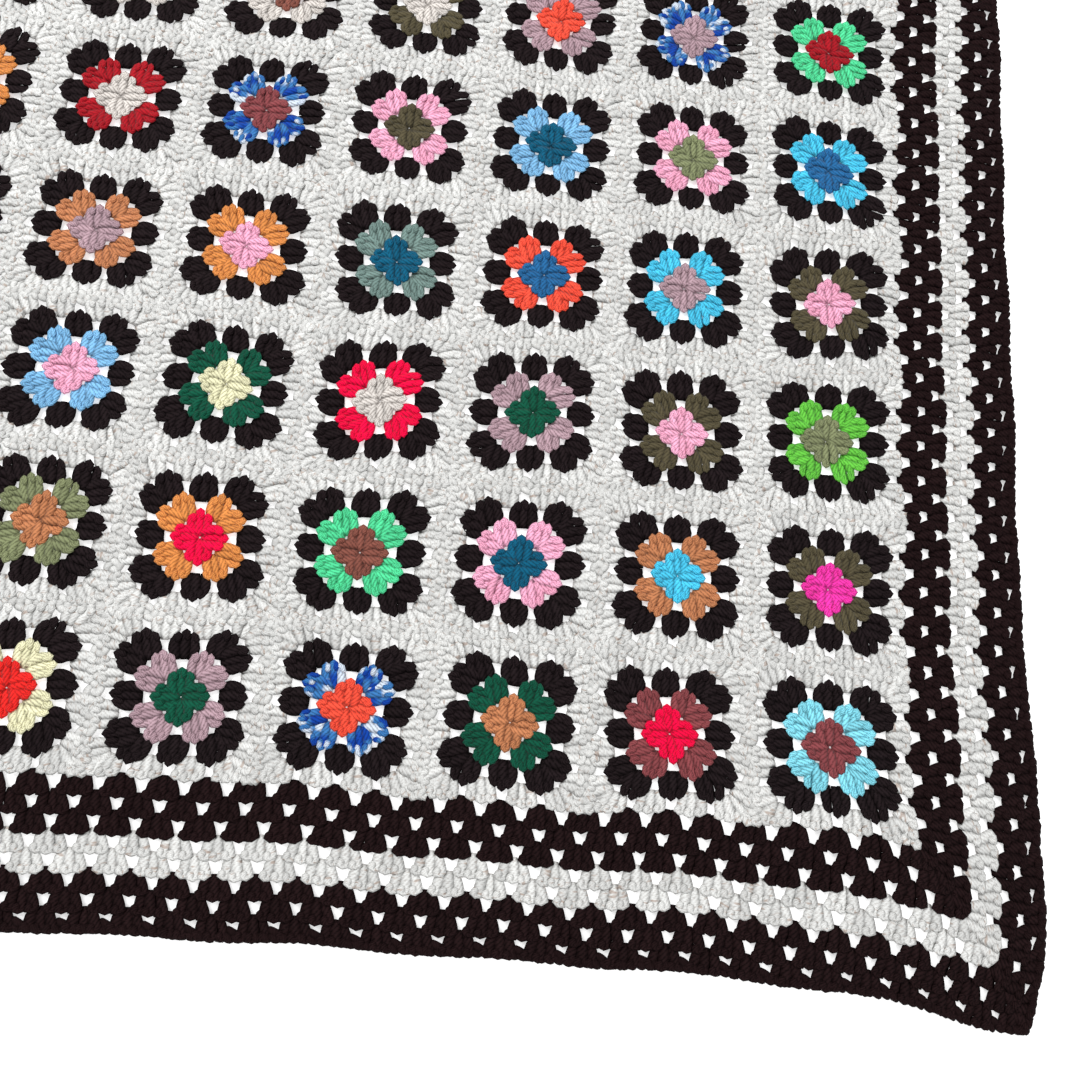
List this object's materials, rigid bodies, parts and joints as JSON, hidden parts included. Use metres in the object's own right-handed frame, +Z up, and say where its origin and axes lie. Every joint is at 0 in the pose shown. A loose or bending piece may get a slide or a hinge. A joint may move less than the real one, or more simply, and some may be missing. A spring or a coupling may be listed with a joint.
{
  "type": "granny square throw blanket",
  "caption": "Crocheted granny-square throw, spread flat: bright squares edged in black and cream inside a dark and cream striped border, folding at three seams.",
  "frame": {"origin": "centre of the underside of the open throw, on the surface that it lies on", "axes": "+X across the throw, +Y along its length from the bottom edge to the top edge, +Z up"},
  "size_m": [1.1434, 1.4106, 0.007],
  "materials": {
    "square_yarn": "matt worsted yarn in many colours",
    "dark_yarn": "matt dark brown worsted yarn",
    "cream_yarn": "matt flecked cream worsted yarn"
  },
  "bodies": {
    "lower_end": {"squares_row_01_columns_1_2": "square_yarn", "squares_row_01_columns_3_4": "square_yarn", "squares_row_01_columns_5_6": "square_yarn", "squares_row_01_columns_7_8": "square_yarn", "squares_row_02_columns_1_2": "square_yarn", "squares_row_02_columns_3_4": "square_yarn", "squares_row_02_columns_5_6": "square_yarn", "squares_row_02_columns_7_8": "square_yarn", "inner_dark_border_bottom": "dark_yarn", "cream_border_bottom": "cream_yarn", "outer_dark_border_bottom": "dark_yarn"},
    "lower_middle": {"squares_row_03_columns_1_2": "square_yarn", "squares_row_03_columns_3_4": "square_yarn", "squares_row_03_columns_5_6": "square_yarn", "squares_row_03_columns_7_8": "square_yarn", "squares_row_04_columns_1_2": "square_yarn", "squares_row_04_columns_3_4": "square_yarn", "squares_row_04_columns_5_6": "square_yarn", "squares_row_04_columns_7_8": "square_yarn", "squares_row_05_columns_1_2": "square_yarn", "squares_row_05_columns_3_4": "square_yarn", "squares_row_05_columns_5_6": "square_yarn", "squares_row_05_columns_7_8": "square_yarn", "inner_dark_border_lower_middle_left": "dark_yarn", "inner_dark_border_lower_middle_right": "dark_yarn", "cream_border_lower_middle_left": "cream_yarn", "cream_border_lower_middle_right": "cream_yarn", "outer_dark_border_lower_middle_left": "dark_yarn", "outer_dark_border_lower_middle_right": "dark_yarn"},
    "upper_middle": {"squares_row_06_columns_1_2": "square_yarn", "squares_row_06_columns_3_4": "square_yarn", "squares_row_06_columns_5_6": "square_yarn", "squares_row_06_columns_7_8": "square_yarn", "squares_row_07_columns_1_2": "square_yarn", "squares_row_07_columns_3_4": "square_yarn", "squares_row_07_columns_5_6": "square_yarn", "squares_row_07_columns_7_8": "square_yarn", "squares_row_08_columns_1_2": "square_yarn", "squares_row_08_columns_3_4": "square_yarn", "squares_row_08_columns_5_6": "square_yarn", "squares_row_08_columns_7_8": "square_yarn", "inner_dark_border_upper_middle_left": "dark_yarn", "inner_dark_border_upper_middle_right": "dark_yarn", "cream_border_upper_middle_left": "cream_yarn", "cream_border_upper_middle_right": "cream_yarn", "outer_dark_border_upper_middle_left": "dark_yarn", "outer_dark_border_upper_middle_right": "dark_yarn"},
    "upper_end": {"squares_row_09_columns_1_2": "square_yarn", "squares_row_09_columns_3_4": "square_yarn", "squares_row_09_columns_5_6": "square_yarn", "squares_row_09_columns_7_8": "square_yarn", "squares_row_10_columns_1_2": "square_yarn", "squares_row_10_columns_3_4": "square_yarn", "squares_row_10_columns_5_6": "square_yarn", "squares_row_10_columns_7_8": "square_yarn", "inner_dark_border_top": "dark_yarn", "cream_border_top": "cream_yarn", "outer_dark_border_top": "dark_yarn"}
  },
  "joints": [
    {"name": "lower_end_fold", "type": "hinge", "parent": "lower_middle", "child": "lower_end", "pos_m": [0, -0.36, 0.0075], "axis": [-1, 0, 0], "range_deg": [0, 179.95]},
    {"name": "middle_fold", "type": "hinge", "parent": "lower_middle", "child": "upper_middle", "pos_m": [0, 0, 0.0155], "axis": [1, 0, 0], "range_deg": [0, 179.95]},
    {"name": "upper_end_fold", "type": "hinge", "parent": "upper_middle", "child": "upper_end", "pos_m": [0, 0.36, 0.0075], "axis": [1, 0, 0], "range_deg": [0, 179.95]}
  ]
}
